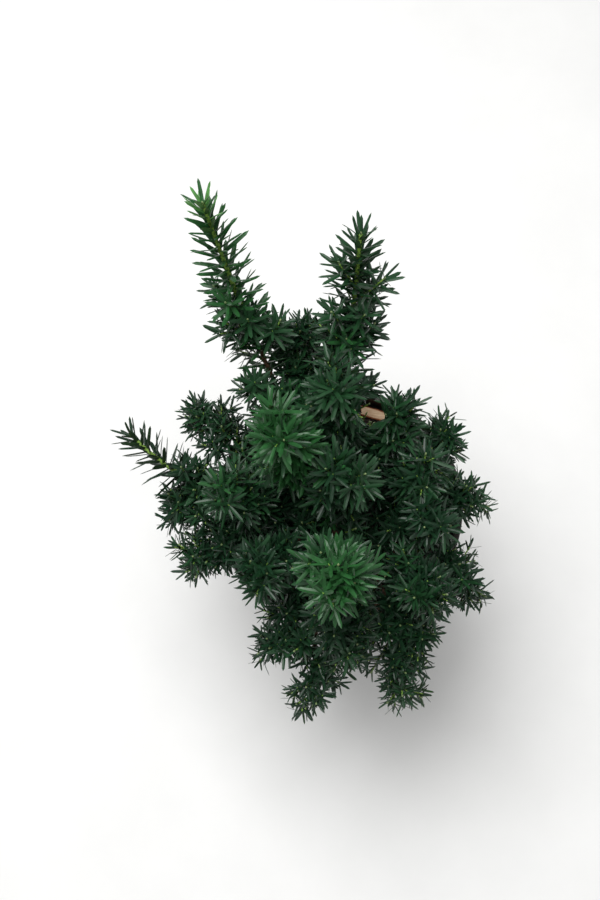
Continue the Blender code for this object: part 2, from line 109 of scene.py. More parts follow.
# Trunk
TRUNK_HEIGHT = 62 * MM
TRUNK_FOOT_RADIUS = 10.5 * MM
TRUNK_TOP_RADIUS = 6.2 * MM
TRUNK_LEAN = Vector((-6 * MM, -12 * MM))
TRUNK_SUNK = 0.07
TRUNK_CLOSES_AT = 0.90
TRUNK_RELIEF = 1.5
FLARE = 6 * MM
FLARE_HEIGHT = 11 * MM
FLARE_LOBES = 4

# Limbs, and the ridges and flakes of their bark
OUT_SHARE = 0.60
UP_SHARE = 0.16
BOUGH_TIP_RADIUS = 2.0 * MM
SIDE_BOUGH_SHARE = 0.80
BARK_DEPTH = 0.55 * MM
RIDGE_WIDTH = 2.2 * MM
RIDGE_LENGTH = 9 * MM
FLAKE_LENGTH = 4 * MM
FLAKES_ABOVE = 0.08
FLAKE_HEIGHT = 0.4
STEM_STEPS = 16
WOODY_STEPS = 5

# Twigs. Shares run along a stem or twig, and SINGLE_ABOVE says from where a tall shoot has none.
FIRST_SHOOT = 0.20
SHOOT_SPAN = 0.58
LAST_SHOOT = 0.94
MORE_BELOW = 1
MORE_ABOVE = 2
SIDE_SPREAD = math.radians(52)
SIDE_TURNS_UP = 0.55
FINER = 4
SHORTER_SHARE = 0.78
LENGTH_AT_BASE = 1.1
LENGTH_LOSS = 0.35
SIDE_TWIG_BARE = 0.16
TWIG_BARE = 0.2
SINGLE_ABOVE = {"leader_left": 0.46, "leader_right": 0.72, "left_long": 0.42}
FORKED_BELOW = 0.34
BOUGH_TWIG_PITCH = 6.5 * MM
LEADER_TWIG_PITCH = 4 * MM
BOUGH_TWIG_SPREAD = math.radians(66)
BOUGH_TWIG_TURNS_UP = 0.55
BOUGH_TWIG_LENGTHS = (22 * MM, 34 * MM)
LEADER_TWIG_LENGTHS = (30 * MM, 44 * MM)
BOUGH_TWIGS_START = 0.20
FORK_SPREAD = math.radians(46)
FORK_TURNS_UP = 0.3
FORK_SHARES = (0.36, 0.58)
FORK_LENGTH_SHARE = 0.58
TWIG_BEND = 0.12
TWIG_STEPS = 6
TWIG_TIP_SHARE = 0.7
TWIGS_ABOVE_SOIL = 6 * MM
STEM_TIP_RADIUS = 1.0 * MM
TWIG_RADIUS = 0.9 * MM
FORK_RADIUS = 0.7 * MM
BUD_LENGTH = 2.6 * MM
BUD_RADIUS = 0.95 * MM

# Needles, longer from a low to a high place: the outline is half widths at shares of the length
LOW_NEEDLE = 16.5 * MM
HIGH_NEEDLE = 26.5 * MM
LOW_PLACE = 230 * MM
LOW_TO_HIGH = 200 * MM
SHORTER_AT_TIP = 0.34
NEEDLE_WIDTH_SHARE = 0.155
CURLS = (-0.11, 0.05)
PITCH = 1.25 * MM
STEM_PITCH = 1.7 * MM
LEADER_PITCH = 1.2 * MM
LEADER_NEEDLE = 25 * MM
LEADER_GROWTH = 1.2
LEADER_STEM_GROWTH = 1.45
STEM_BARE = 0.08
FEWEST_NEEDLES = 9
NEEDLE_SUNK = 0.3 * MM
NEEDLE_SIDES = 4
STATIONS = np.array((0.0, 0.11, 0.52, 0.87))
HALF_WIDTHS = np.array((0.30, 0.90, 1.0, 0.78))
RIB = 0.14
KEEL = 0.08
SIDEWAYS_LEAN = 76
FORWARD_LEAN = 38
LEAN_WANDERS = 6
ROLL_WANDERS = 0.30
NEEDLES_A_PIECE = 6000
CLEARANCE = 2 * MM
OFF_SOIL = 3 * MM
RIM_GAP = 10 * MM

# Needle tints, partly age and partly painted light: high, outer needles lighter as painted light,
# low, inner ones darker as painted shade: name, highest score, upper colour, under colour
TINTS = (
    ("deep_shaded", 0.32, (0.007, 0.030, 0.012), (0.024, 0.054, 0.021)),
    ("green", 0.60, (0.011, 0.046, 0.016), (0.033, 0.075, 0.025)),
    ("bright_lit", 1.25, (0.015, 0.076, 0.019), (0.050, 0.118, 0.031)),
    ("fresh", 9.0, (0.070, 0.210, 0.050), (0.110, 0.240, 0.075)),
)
# Limbs whose needle scores are lifted towards the lighter tints, as painted light
BRIGHT_LIT_LIMBS = {"crown_left": 0.24, "crown_front": 0.22, "left_middle": 0.10, "leader_left": 0.08}
FRESH_ABOVE = 438 * MM
FRESH_SHARE = 0.45
# Height and reach out over which the needle tints lighten: partly young growth, partly painted
# light above and outside and painted shade low and inside
TINT_AND_PAINTED_LIGHT_FROM = 220 * MM
TINT_AND_PAINTED_LIGHT_RISE = 230 * MM
TINT_AND_PAINTED_LIGHT_REACH = 190 * MM
NEEDLE_SHINE = 0.32
NEEDLE_WAVES = 140
UPPER_ROUGHNESS = 0.36
UNDER_ROUGHNESS = 0.55

# Surfaces: dark and light colour, waves a metre, roughness, depth of relief, stretch of the noise
SURFACES = {
    "pot_plastic": ((0.010, 0.008, 0.007), (0.026, 0.020, 0.017), 35, 0.42, 0.05 * MM),
    "mulch": ((0.004, 0.003, 0.002), (0.016, 0.009, 0.006), 260, 0.93, 0.5 * MM),
    "chip_wood": ((0.55, 0.34, 0.19), (0.80, 0.60, 0.40), 320, 0.78, 0.2 * MM, (0.35, 1.6, 1.0)),
    "chip_bark": ((0.16, 0.040, 0.012), (0.42, 0.13, 0.045), 240, 0.84, 0.3 * MM),
    "bark": ((0.022, 0.011, 0.008), (0.200, 0.105, 0.064), 330, 0.86, 0.5 * MM),
    "young_bark": ((0.060, 0.030, 0.016), (0.170, 0.095, 0.050), 420, 0.72, 0.2 * MM),
    "green_shoot": ((0.150, 0.290, 0.040), (0.290, 0.470, 0.085), 300, 0.50),
    "bud_scales": ((0.130, 0.200, 0.080), (0.300, 0.380, 0.170), 500, 0.55, 0.1 * MM),
    "floor_paper": ((0.84, 0.84, 0.83), (0.87, 0.87, 0.86), 9, 0.82),
}
CRUMB_SURFACE = (300, 0.88, 0.2 * MM)

# Studio: each light's place, size in metres and power in watts
FLOOR_SIZE = 8
SKY_STRENGTH = 0.38
LIGHTS_AIM = (0, 0, 0.25)
LIGHTS = {"key": ((-0.40, 0.40, 1.90), 1.2, 36), "fill": ((0.9, -1.1, 1.5), 1.4, 5)}

# The photograph's view, steeply down from just in front of the pot
CAMERA_PLACE = (-0.036, -0.278, 1.228)
CAMERA_DOWN = math.radians(72)
LENS = 46.2


class Chip(NamedTuple):
    """A split chip on the mulch. Lengths are in millimetres, angles in degrees."""

    length: float
    width: float
    turn: float
    reach: float
    bearing: float

    def spot(self):
        """Its place on the mulch, seen from above."""
        bearing = math.radians(self.bearing)
        return self.reach * MM * math.cos(bearing), self.reach * MM * math.sin(bearing)


CHIPS = (
    Chip(27, 10, -17, 96, 71),
    Chip(20, 12, 70, 78, 12),
    Chip(24, 11, 35, 74, 215),
)


class Limb(NamedTuple):
    """A bough and the mass of needles at its end. Lengths are in millimetres, angles in degrees."""

    name: str
    parent: str
    leaves_at: float
    bearing: float
    reach: float
    height: float
    arch: float
    swing: float
    bough: float
    shoots: int
    length: float
    turn: float
    radius: float = 0


LIMBS = (
    Limb("leader_left", "trunk", 0.62, 123, 201, 456, 0, 0, 0.42, 4, 40, 200, 4.6),
    Limb("leader_right", "trunk", 0.86, 86, 156, 432, 0, 0, 0.42, 4, 40, 250, 4.4),
    Limb("back_left", "leader_left", 0.50, 106, 134, 305, 4, 6, 0.40, 3, 34, 90),
    Limb("back_low", "leader_right", 0.45, 96, 112, 252, 8, 10, 0.45, 3, 30, 60),
    Limb("crown_back", "leader_right", 0.62, 98, 48, 380, 0, 25, 0.35, 3, 34, 0),
    Limb("crown_left", "trunk", 0.78, 173, 54, 405, 0, 0, 0.40, 4, 36, 240, 3.8),
    Limb("crown_middle", "trunk", 1.00, 258, 18, 365, 0, 0, 0.00, 4, 36, 120),
    Limb("crown_front", "trunk", 0.76, 265, 111, 390, 0, 0, 0.42, 4, 38, 30, 4.2),
    Limb("right_back", "trunk", 0.68, 42, 66, 332, 0, 0, 0.42, 3, 32, 300, 3.4),
    Limb("right_edge", "trunk", 0.50, 355, 112, 265, 6, 0, 0.48, 3, 30, 60, 4.0),
    Limb("right_high", "right_edge", 0.50, 357, 66, 322, 0, 12, 0.36, 3, 32, 180),
    Limb("right_far_back", "right_edge", 0.72, 26, 101, 276, 4, 0, 0.40, 3, 28, 0),
    Limb("right_low", "trunk", 0.36, 323, 142, 244, 16, 0, 0.46, 3, 30, 90, 4.0),
    Limb("right_middle", "right_low", 0.45, 330, 86, 312, 0, 14, 0.36, 3, 32, 30),
    Limb("right_front", "right_low", 0.66, 305, 124, 292, 2, 0, 0.38, 4, 32, 320),
    Limb("front_low", "trunk", 0.26, 288, 184, 216, 34, 0, 0.48, 4, 30, 20, 4.0),
    Limb("front_right", "front_low", 0.50, 296, 145, 250, 8, 0, 0.42, 3, 30, 240),
    Limb("front_middle", "crown_front", 0.60, 270, 146, 276, 6, 0, 0.42, 4, 30, 60),
    Limb("front_left", "trunk", 0.32, 248, 153, 236, 18, 0, 0.46, 4, 30, 60, 4.0),
    Limb("front_low_left", "front_left", 0.60, 262, 182, 217, 20, 0, 0.42, 3, 30, 170),
    Limb("left_front", "trunk", 0.64, 229, 113, 300, 0, 0, 0.44, 4, 32, 30, 3.8),
    Limb("left_low_front", "trunk", 0.42, 205, 146, 250, 12, 0, 0.46, 4, 32, 30, 3.8),
    Limb("left_long", "trunk", 0.56, 168, 184, 296, 4, 24, 0.44, 4, 32, 30, 4.2),
    Limb("left_middle", "left_long", 0.45, 193, 96, 322, 0, 0, 0.36, 3, 34, 330),
    Limb("left_low", "left_long", 0.75, 185, 142, 250, 6, 0, 0.40, 3, 30, 120),
    Limb("left_back", "left_long", 0.60, 149, 147, 246, 8, 0, 0.40, 3, 32, 100),
)
MASSES = [f"needles_{limb.name}" for limb in LIMBS]


def unit(vectors):
    """Vectors of length one."""
    return vectors / np.linalg.norm(vectors, axis=-1, keepdims=True)


def array_mesh(name, corners, quads, triangles, smooth):
    """A mesh from arrays of its corners, its four-cornered faces and its three-cornered faces."""
    mesh = bpy.data.meshes.new(name)
    order = np.concatenate((quads.ravel(), triangles.ravel())).astype(np.int32)
    sizes = np.repeat((4, 3), (len(quads), len(triangles)))
    starts = (np.cumsum(sizes) - sizes).astype(np.int32)
    mesh.vertices.add(len(corners))
    mesh.vertices.foreach_set("co", np.asarray(corners, np.float32).ravel())
    mesh.loops.add(len(order))
    mesh.loops.foreach_set("vertex_index", order)
    mesh.polygons.add(len(sizes))
    mesh.polygons.foreach_set("loop_start", starts)
    mesh.update(calc_edges=True)
    if smooth:
        mesh.shade_smooth()
    else:
        mesh.shade_flat()
    return mesh


class Heap:
    """Many small shapes that become one mesh."""

    def __init__(self):
        self.corners = []
        self.quads = [np.zeros((0, 4), int)]
        self.triangles = [np.zeros((0, 3), int)]
        self.count = 0

    def add(self, corners, quads, triangles):
        self.corners.append(corners)
        self.quads.append(quads + self.count)
        self.triangles.append(triangles + self.count)
        self.count += len(corners)

    def mesh(self, name, smooth=True):
        return array_mesh(
            name,
            np.concatenate(self.corners),
            np.concatenate(self.quads),
            np.concatenate(self.triangles),
            smooth,
        )


def band_quads(rings, sides):
    """The faces between neighbouring rings of a closed band."""
    ring = np.arange(rings - 1)[:, None] * sides
    side = np.arange(sides)[None]
    after = (side + 1) % sides
    corners = (ring + side, ring + after, ring + sides + after, ring + sides + side)
    return np.stack(corners, axis=-1).reshape(-1, 4)


def end_fans(rings, sides):
    """The faces that close both ends of a band, round two middle corners that follow its rings."""
    side = np.arange(sides)
    after = (side + 1) % sides
    middle = rings * sides
    last = middle - sides
    first_fan = np.stack((np.full(sides, middle), after, side), axis=-1)
    last_fan = np.stack((np.full(sides, middle + 1), last + side, last + after), axis=-1)
    return np.concatenate((first_fan, last_fan))


def tube(points, radii, sides):
    """A closed tapering tube. Its radii may be one for each point, or one for each corner."""
    points = np.asarray(points, float)
    radii = np.asarray(radii, float).reshape(len(points), -1)
    along = unit(np.gradient(points, axis=0))
    side = np.cross(along[0], ACROSS)
    carried = []
    for direction in along:
        side = unit(side - direction * (side @ direction))
        carried.append(side)
    across = np.array(carried)
    other = np.cross(along, across)
    angles = 2 * np.pi * np.arange(sides) / sides
    rings = across[:, None] * np.cos(angles)[None, :, None]
    rings = rings + other[:, None] * np.sin(angles)[None, :, None]
    corners = (points[:, None] + rings * radii[..., None]).reshape(-1, 3)
    corners = np.concatenate((corners, points[:1], points[-1:]))
    return corners, band_quads(len(points), sides), end_fans(len(points), sides)


def lathe(profile, steps):
    """A turned closed shape from (radius, height) points whose first and last lie on the axis."""
    inner = np.array(profile[1:-1], float)
    angles = 2 * np.pi * np.arange(steps) / steps
    corners = np.empty((len(inner), steps, 3))
    corners[..., 0] = inner[:, :1] * np.cos(angles)
    corners[..., 1] = inner[:, :1] * np.sin(angles)
    corners[..., 2] = inner[:, 1:]
    middles = np.array(((0, 0, profile[0][1]), (0, 0, profile[-1][1])))
    corners = np.concatenate((corners.reshape(-1, 3), middles))
    quads = band_quads(len(inner), steps)[:, ::-1]
    return corners, quads, end_fans(len(inner), steps)[:, ::-1]


def node(tree, kind, **values):
    """A shader node with the values of its inputs."""
    made = tree.nodes.new(kind)
    for name, value in values.items():
        made.inputs[name].default_value = value
    return made


def wandering(name, low, high, scale, roughness, bump=0.0, stretch=(1, 1, 1), detail=5.0):
    """A material whose colour, gloss and relief wander with one noise."""
    material = bpy.data.materials.new(name)
    material.use_nodes = True
    tree = material.node_tree
    shader = tree.nodes["Principled BSDF"]
    coordinates = tree.nodes.new("ShaderNodeTexCoord")
    mapping = node(tree, "ShaderNodeMapping", Scale=stretch)
    pattern = node(tree, "ShaderNodeTexNoise", Scale=scale, Detail=detail, Roughness=0.6)
    ramp = tree.nodes.new("ShaderNodeValToRGB")
    first, last = ramp.color_ramp.elements
    first.position, last.position = 0.34, 0.66
    first.color, last.color = (*low, 1), (*high, 1)
    gloss = tree.nodes.new("ShaderNodeMapRange")
    gloss.inputs["To Min"].default_value = roughness + 0.08
    gloss.inputs["To Max"].default_value = roughness - 0.08
    tree.links.new(coordinates.outputs["Object"], mapping.inputs["Vector"])
    tree.links.new(mapping.outputs["Vector"], pattern.inputs["Vector"])
    tree.links.new(pattern.outputs["Fac"], ramp.inputs["Fac"])
    tree.links.new(pattern.outputs["Fac"], gloss.inputs["Value"])
    tree.links.new(ramp.outputs["Color"], shader.inputs["Base Color"])
    tree.links.new(gloss.outputs["Result"], shader.inputs["Roughness"])
    if bump:
        relief = node(tree, "ShaderNodeBump", Distance=bump, Strength=0.8)
        tree.links.new(pattern.outputs["Fac"], relief.inputs["Height"])
        tree.links.new(relief.outputs["Normal"], shader.inputs["Normal"])
    return material


def surface(name):
    return wandering(name, *SURFACES[name])


def needle_material(name, colour, roughness):
    """A leathery green that wanders a little within a spray."""
    low = [0.80 * part for part in colour]
    high = [1.22 * part for part in colour]
    material = wandering(name, low, high, NEEDLE_WAVES, roughness, detail=2.0)
    shader = material.node_tree.nodes["Principled BSDF"]
    shader.inputs["Specular IOR Level"].default_value = NEEDLE_SHINE
    return material


def place(mesh, name, slot, nodes, *materials):
    """Puts a piece in the scene, on the one body, in the place of its nodes."""
    piece = bpy.data.objects.new(name, mesh)
    bpy.context.scene.collection.objects.link(piece)
    for material in materials:
        mesh.materials.append(material)
    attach(piece, "root")
    if nodes:
        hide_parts(*nodes)
    return piece


def cleaned(mesh):
    """Turns every face outwards."""
    bm = bmesh.new()
    bm.from_mesh(mesh)
    bmesh.ops.recalc_face_normals(bm, faces=bm.faces)
    bm.to_mesh(mesh)
    bm.free()
    return mesh


def pot_radius(height):
    """The outer wall's radius below the rim."""
    top = POT_TOP_RADIUS - RIM_PROUD
    return POT_FOOT_RADIUS + (top - POT_FOOT_RADIUS) * height / POT_HEIGHT


def rounded(middle, radius, first, last, steps=5):
    """Points on an arc of a profile, with its angles in degrees."""
    for i in range(steps + 1):
        angle = math.radians(first + (last - first) * i / steps)
        yield middle[0] + radius * math.cos(angle), middle[1] + radius * math.sin(angle)


def pot_profile():
    """Up the inside, over the rolled rim, and down the ribbed outside."""
    lip = POT_WALL / 2
    lip_height = POT_HEIGHT - POT_WALL
    under = POT_HEIGHT - 2 * POT_WALL
    rim_inner = pot_radius(POT_HEIGHT) - POT_WALL
    fold_inner = POT_TOP_RADIUS - POT_WALL
    points = [(0, POT_FLOOR), (pot_radius(POT_FLOOR) - 3 * POT_WALL, POT_FLOOR)]
    points += [(pot_radius(POT_FLOOR) - POT_WALL, POT_FLOOR + 2 * POT_WALL)]
    points += rounded((rim_inner + POT_WALL, lip_height), POT_WALL, 180, 90)
    points += rounded((POT_TOP_RADIUS - POT_WALL, lip_height), POT_WALL, 90, 0)
    points += rounded((fold_inner + lip, POT_HEIGHT - RIM_FOLD + lip), lip, 0, -180)
    points += [(fold_inner, under), (pot_radius(under), under)]
    for rise, proud in POT_RIBS:
        height = rise * POT_HEIGHT
        points += [(pot_radius(height + RIB_REACH), height + RIB_REACH)]
        points += [(pot_radius(height) + proud * MM, height + RIB_FLAT)]
        points += [(pot_radius(height) + proud * MM, height - RIB_FLAT)]
        points += [(pot_radius(height - RIB_REACH), height - RIB_REACH)]
    points += rounded((POT_FOOT_RADIUS - FOOT_ROUNDING, FOOT_ROUNDING), FOOT_ROUNDING, 0, -90)
    points += [(0, 0)]
    return points


def drain_cutter():
    """The holes round the foot, as one mesh of slanted round bars."""
    bm = bmesh.new()
    for i in range(DRAIN_HOLES):
        bearing = 2 * math.pi * (i + 0.5) / DRAIN_HOLES
        outward = Vector((math.cos(bearing), math.sin(bearing), 0))
        turn = (outward - DRAIN_SLANT * UP).to_track_quat("Z", "Y").to_matrix().to_4x4()
        bmesh.ops.create_cone(
            bm,
            cap_ends=True,
            segments=32,
            radius1=DRAIN_RADIUS,
            radius2=DRAIN_RADIUS,
            depth=4 * DRAIN_RADIUS,
            matrix=Matrix.Translation(outward * (POT_FOOT_RADIUS - DRAIN_INSET)) @ turn,
        )
    mesh = bpy.data.meshes.new("drain_cutter")
    bm.to_mesh(mesh)
    bm.free()
    cutter = bpy.data.objects.new("drain_cutter", mesh)
    bpy.context.scene.collection.objects.link(cutter)
    return cutter


def make_pot():
    """The turned shell with its drain holes cut."""
    mesh = cleaned(array_mesh("pot_shell", *lathe(pot_profile(), POT_STEPS), True))
    shell = bpy.data.objects.new("pot_shell", mesh)
    bpy.context.scene.collection.objects.link(shell)
    cutter = drain_cutter()
    cut = shell.modifiers.new("Drain", "BOOLEAN")
    cut.operation = "DIFFERENCE"
    cut.object = cutter
    bpy.context.view_layer.update()
    depsgraph = bpy.context.evaluated_depsgraph_get()
    mesh = bpy.data.meshes.new_from_object(shell.evaluated_get(depsgraph))
    for spent in (shell, cutter):
        bpy.data.objects.remove(spent)
    mesh.shade_smooth()
    mesh.set_sharp_from_angle(angle=POT_CREASE)
    mesh.materials.clear()
    place(mesh, "nursery_pot", "black_plastic", ["pot"], surface("pot_plastic"))


def soil_height(x, y):
    """The mulch's own bumps, before the crumbs on it."""
    bumps = noise.fractal(Vector((x, y, 0.3)) * SOIL_WAVES, 0.8, 2.1, 4)
    return SOIL_TOP + SOIL_ROUGHNESS * bumps


def make_soil():
    """The filling, turned to the pot's inside, with a bumpy top."""
    edge = pot_radius(SOIL_TOP) - POT_WALL - GAP
    shoulder = POT_FLOOR + GAP + 3 * POT_WALL
    profile = [(0, SOIL_TOP)]
    profile += [(edge * i / SOIL_RINGS, SOIL_TOP) for i in range(1, SOIL_RINGS + 1)]
    profile += [(pot_radius(shoulder) - POT_WALL - GAP, shoulder)]
    profile += [(pot_radius(shoulder) - 4 * POT_WALL, POT_FLOOR + GAP), (0, POT_FLOOR + GAP)]
    corners, quads, triangles = lathe(profile, POT_STEPS)
    for corner in corners:
        if corner[2] >= SOIL_TOP:
            corner[2] = soil_height(corner[0], corner[1])
    mesh = cleaned(array_mesh("mulch_body", corners, quads, triangles, True))
    place(mesh, "mulch_body", "bark_soil", ["soil"], surface("mulch"))


# A box one unit across, for the crumbs
BOX = np.array([(x, y, z) for x in (-1, 1) for y in (-1, 1) for z in (-1, 1)], float) / 2
BOX_FACES = np.array(
    ((0, 1, 3, 2), (4, 6, 7, 5), (0, 4, 5, 1), (2, 3, 7, 6), (0, 2, 6, 4), (1, 5, 7, 3))
)


def make_crumbs(name, count, longest, dark, light, rng):
    """Splinters and crumbs of bark that lie flat or tilted on the mulch."""
    heap = Heap()
    edge = pot_radius(SOIL_TOP) - POT_WALL - CRUMBS_OFF_WALL
    no_triangles = np.zeros((0, 3), int)
    for _ in range(count):
        reach = edge * math.sqrt(rng.uniform(0.012, 1))
        bearing = rng.uniform(0, 2 * math.pi)
        x, y = reach * math.cos(bearing), reach * math.sin(bearing)
        length = longest * rng.uniform(0.3, 1.0)
        size = (length, length * rng.uniform(0.25, 0.6), rng.uniform(0.8, 2.2) * MM)
        shape = BOX * (1 + rng.uniform(-0.35, 0.25, (8, 3))) * size
        roll = Matrix.Rotation(rng.normal(0, CRUMB_TILT), 3, "X")
        pitch = Matrix.Rotation(rng.normal(0, CRUMB_TILT), 3, "Y")
        tilt = roll @ pitch
        turn = np.array(Matrix.Rotation(rng.uniform(0, 2 * math.pi), 3, "Z") @ tilt)
        middle = (x, y, soil_height(x, y) + rng.uniform(0.2, 1.4) * MM)
        heap.add(shape @ turn.T + middle, BOX_FACES, no_triangles)
    material = wandering(f"{name}_bark", dark, light, *CRUMB_SURFACE)
    place(heap.mesh(name, smooth=False), name, "bark_soil", [], material)


def cut_box(cuts):
    """A unit box with its edges along each axis cut that many times."""
    bm = bmesh.new()
    bmesh.ops.create_cube(bm, size=1)
    for axis, times in enumerate(cuts):
        edges = [e for e in bm.edges if abs(e.verts[0].co[axis] - e.verts[1].co[axis]) > 0.5]
        bmesh.ops.subdivide_edges(bm, edges=edges, cuts=times, use_grid_fill=True)
    return bm


def make_chip(index, chip, wood, bark):
    """A split chip: pale fibrous wood above, orange-brown bark along its sides."""
    bm = cut_box(CHIP_CUTS)
    for vert in bm.verts:
        along = 2 * vert.co.x
        fibre = noise.noise(Vector((vert.co.x * 3, vert.co.y * 16, vert.co.z * 5 + index)))
        ragged = 0.07 * noise.noise(Vector((index, vert.co.y * 14, vert.co.z * 6)))
        crown = CHIP_CROWN * (1 - along * along)
        rise = (vert.co.z + 0.5) * CHIP_THICKNESS * (1 - 0.22 * abs(2 * vert.co.y) ** 3)
        vert.co.y *= chip.width * MM * (1 - CHIP_TAPER * along * along) * (1 + 0.05 * fibre)
        vert.co.x *= chip.length * MM * (1 + (ragged - 0.03) * abs(along))
        vert.co.z = rise + crown + CHIP_FIBRE * fibre * (vert.co.z + 0.5)
    mesh = bpy.data.meshes.new(f"split_chip_{index}")
    bm.to_mesh(mesh)
    bm.free()
    mesh.shade_smooth()
    mesh.set_sharp_from_angle(angle=CHIP_CREASE)
    for face in mesh.polygons:
        across = abs(2 * face.center.y / (chip.width * MM))
        along = 2 * face.center.x / (chip.length * MM)
        split = across < CHIP_WOOD_SHARE and along > -CHIP_WOOD_SHARE
        face.material_index = 0 if face.normal.z > CHIP_WOOD_TILT and split else 1
    lay = Matrix.Translation((*chip.spot(), SOIL_TOP + GAP))
    mesh.transform(lay @ Matrix.Rotation(math.radians(chip.turn), 4, "Z"))
    place(mesh, f"split_chip_{index}", "split_bark", [f"bark_chip_{index}"], wood, bark)


def make_mulch():
    """The filling, the crumbs on it and the split chips."""
    rng = np.random.default_rng(SEED)
    make_soil()
    for kind in CRUMBS:
        make_crumbs(*kind, rng)
    wood = surface("chip_wood")
    bark = surface("chip_bark")
    for index, chip in enumerate(CHIPS, 1):
        make_chip(index, chip, wood, bark)


def trunk_middle(share):
    """The trunk's middle at a share of its height, which leans more towards the top."""
    lean = TRUNK_LEAN * max(share, 0) ** 1.4
    return Vector((lean.x, lean.y, SOIL_TOP + GAP + share * TRUNK_HEIGHT))


def bezier(start, bend, end, share):
    """A place on an arc with one bend."""
    return start * (1 - share) ** 2 + bend * 2 * share * (1 - share) + end * share**2


class Arc:
    """The line of one limb, from where it leaves its parent to the tip of its mass."""

    def __init__(self, limb, start, radius):
        bearing = math.radians(limb.bearing)
        reach = limb.reach * MM
        self.limb = limb
        self.start = start
        self.radius = radius
        height = limb.height * MM
        self.tip = Vector((reach * math.cos(bearing), reach * math.sin(bearing), height))
        run = self.tip - start
        rise = run.z
        run.z = 0
        run.rotate(Matrix.Rotation(math.radians(limb.swing), 3, "Z"))
        self.bend = start + run * OUT_SHARE
        self.bend.z += rise * UP_SHARE + limb.arch * MM

    def at(self, share):
        return bezier(self.start, self.bend, self.tip, share)

    def points(self, first, last, steps):
        return [self.at(first + (last - first) * i / steps) for i in range(steps + 1)]

    def bough_radius(self, share):
        return self.radius + (BOUGH_TIP_RADIUS - self.radius) * share**0.8


def grow_arcs():
    """Every limb's arc by name. A limb that leaves a bough starts on that bough's middle line."""
    arcs = {}
    for limb in LIMBS:
        if limb.parent == "trunk":
            arcs[limb.name] = Arc(limb, trunk_middle(limb.leaves_at), limb.radius * MM)
            continue
        parent = arcs[limb.parent]
        start = parent.at(limb.leaves_at * parent.limb.bough)
        arcs[limb.name] = Arc(limb, start, SIDE_BOUGH_SHARE * parent.bough_radius(limb.leaves_at))
    return arcs


def bark_relief(rings, sides, radius, run, seed):
    """How far the bark stands proud at each corner of a limb: long ridges broken into flakes."""
    relief = np.empty((rings, sides))
    for j in range(sides):
        angle = 2 * math.pi * j / sides
        x = radius * math.cos(angle) / RIDGE_WIDTH
        y = radius * math.sin(angle) / RIDGE_WIDTH
        for i in range(rings):
            z = run * i / (rings - 1)
            ridge = 1 - 2 * abs(noise.noise(Vector((x, y, z / RIDGE_LENGTH + seed))))
            flake = noise.noise(Vector((x * 0.7, y * 0.7, z / FLAKE_LENGTH - seed)))
            relief[i, j] = 0.6 * ridge + (FLAKE_HEIGHT if flake > FLAKES_ABOVE else 0.0)
    return relief - 0.5


def make_trunk(bark):
    """The trunk with its root flare, sunk a little into the mulch and rounded off at the top."""
    rings, sides = 80, 56
    shares = np.linspace(-TRUNK_SUNK, 1.0, rings)
    middles = np.array([trunk_middle(share) for share in shares])
    rise = shares[:, None] * TRUNK_HEIGHT
    angles = 2 * np.pi * np.arange(sides)[None] / sides
    lobes = 0.6 + 0.4 * np.cos(FLARE_LOBES * angles + 0.7)
    taper = np.maximum(shares, 0)[:, None] ** 0.8
    radii = TRUNK_FOOT_RADIUS + (TRUNK_TOP_RADIUS - TRUNK_FOOT_RADIUS) * taper
    radii = radii + FLARE * lobes * np.exp(-np.maximum(rise, 0) / FLARE_HEIGHT)
    relief = bark_relief(rings, sides, TRUNK_FOOT_RADIUS, TRUNK_HEIGHT, 3.7)
    radii = radii + TRUNK_RELIEF * BARK_DEPTH * relief
    closing = np.clip((shares[:, None] - TRUNK_CLOSES_AT) / 0.10, 0, 1)
    radii = radii * np.sqrt(1 - 0.75 * closing**2)
    mesh = array_mesh("bark_trunk", *tube(middles, radii, sides), True)
    place(mesh, "bark_trunk", "yew_bark", ["trunk"], bark)


def make_boughs(arcs, bark):
    """Each bough in its bark, from inside its parent to the stem of its mass."""
    rings, sides = 44, 20
    for index, arc in enumerate(arcs.values()):
        limb = arc.limb
        if not limb.bough:
            continue
        points = np.array(arc.points(0, limb.bough, rings - 1))
        run = float(np.linalg.norm(np.diff(points, axis=0), axis=1).sum())
        radii = np.array([arc.bough_radius(i / (rings - 1)) for i in range(rings)])[:, None]
        relief = bark_relief(rings, sides, arc.radius, run, 1.3 * index)
        radii = radii + BARK_DEPTH * relief * np.minimum(1, radii / (4 * MM))
        name = f"bark_{limb.name}"
        mesh = array_mesh(name, *tube(points, radii, sides), True)
        place(mesh, name, "yew_bark", [f"bough_{limb.name}"], bark)


def stretches(points):
    """The lengths between neighbouring points."""
    return [(b - a).length for a, b in zip(points, points[1:], strict=False)]


def along_line(points, share):
    """The place and direction at a share of a line's length."""
    lengths = stretches(points)
    left = share * sum(lengths)
    for start, end, length in zip(points, points[1:], lengths, strict=False):
        if left <= length:
            break
        left -= length
    direction = (end - start).normalized()
    return start + direction * min(left, length), direction


def around(direction, angle):
    """A unit vector square to a direction, at an angle round it."""
    side = direction.cross(Vector(ACROSS)).normalized()
    return side * math.cos(angle) + direction.cross(side) * math.sin(angle)


class Twig(NamedTuple):
    """A leafy twig that bends up a little on its way."""

    base: Vector
    heading: Vector
    length: float
    radius: float
    starts: float  # share of its length that is bare

    def at(self, share):
        bend = UP * self.length * TWIG_BEND * share**2
        return self.base + self.heading * self.length * share + bend

    def line(self):
        return [self.at(i / TWIG_STEPS) for i in range(TWIG_STEPS + 1)]


def turned_off(direction, out, spread, turns_up):
    """A heading that is spread off a direction, then turned up a little."""
    heading = direction * math.cos(spread) + out * math.sin(spread)
    return (heading + UP * turns_up).normalized()


